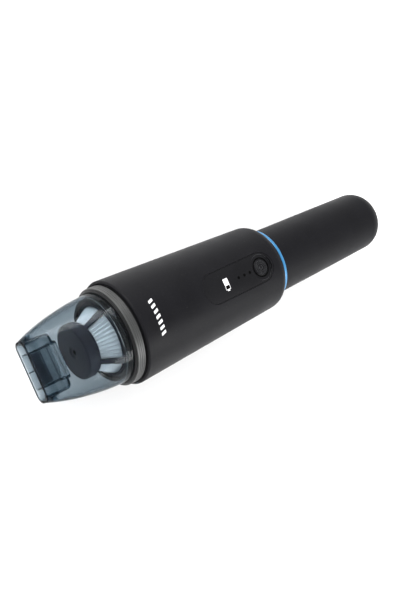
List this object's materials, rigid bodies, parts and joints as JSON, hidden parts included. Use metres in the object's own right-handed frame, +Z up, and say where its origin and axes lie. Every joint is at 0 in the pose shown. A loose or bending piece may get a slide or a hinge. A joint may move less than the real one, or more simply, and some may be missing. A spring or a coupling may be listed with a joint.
{
  "type": "cordless handheld vacuum cleaner",
  "caption": "Slim cordless handheld vacuum: black barrel, tapered grip, smoky clear dust cup with intake flap, pleated cone filter and push-button panel.",
  "frame": {"origin": "on the barrel's axis in the middle of the handle grip", "axes": "+X along the axis from nozzle to handle end, +Z up out of the control panel, +Y to the left of the nozzle-to-handle direction seen from above"},
  "size_m": [0.3203, 0.074, 0.074],
  "materials": {
    "matte_black": "fine matte spark texture",
    "black_inner": "moulded matte",
    "panel_black": "smooth satin",
    "grey_trim": "satin",
    "blue_trim": "satin metallic",
    "steel": "brushed",
    "fan_grey": "moulded satin",
    "seal_rubber": "matte",
    "flap_rubber": "matte",
    "lens_smoke": "smoked",
    "board_green": "solder mask",
    "cell_sleeve": "shrink sleeve",
    "smoke_clear": "smoky transparent plastic",
    "filter_black": "moulded satin",
    "filter_paper": "pleated"
  },
  "bodies": {
    "vacuum_body": {"main_housing": "matte_black", "handle_shell": "matte_black", "accent_ring": "blue_trim", "handle_screws": "steel", "mount_collar": "black_inner", "cup_seal": "seal_rubber", "front_trim_ring": "grey_trim", "fan_shroud": "black_inner", "motor_mount": "black_inner", "motor_can": "steel", "motor_screws": "steel", "front_bearing": "steel", "rear_bearing": "steel", "motor_cradle": "black_inner", "control_panel": "panel_black", "indicator_lenses": "lens_smoke", "control_board": "board_green", "tact_switch": "panel_black", "battery_cells": "cell_sleeve", "battery_holder": "black_inner", "charge_board": "board_green", "charge_inlet": "steel"},
    "button": {"power_button": "panel_black"},
    "fan_rotor": {"impeller": "fan_grey", "motor_shaft": "steel"},
    "cup": {"dust_cup": "smoke_clear", "intake_duct": "smoke_clear", "flap_pin": "steel"},
    "flap": {"intake_flap": "flap_rubber"},
    "filter": {"filter_cap": "filter_black", "filter_cage": "filter_black", "filter_seal": "seal_rubber", "filter_medium": "filter_paper"}
  },
  "joints": [
    {"name": "button_press", "type": "slide", "parent": "vacuum_body", "child": "button", "axis": [-0.04, 0, -0.9992], "range_m": [0, 0.001], "stiffness_N_per_m": 800},
    {"name": "fan_spin", "type": "hinge", "parent": "vacuum_body", "child": "fan_rotor", "pos_m": [-0.16, 0, 0], "axis": [1, 0, 0], "continuous": true},
    {"name": "cup_pull", "type": "slide", "parent": "vacuum_body", "child": "cup", "axis": [-1, 0, 0], "range_m": [0, 0.1]},
    {"name": "filter_pull", "type": "slide", "parent": "vacuum_body", "child": "filter", "axis": [-1, 0, 0], "range_m": [0, 0.04]},
    {"name": "flap_swing", "type": "hinge", "parent": "cup", "child": "flap", "pos_m": [-0.2526, 0, 0.0032], "axis": [0, -1, 0], "range_deg": [0, 34]}
  ],
  "couplings": [
    {"joint": "filter_pull", "follows": "cup_pull", "ratio": 0.4}
  ]
}
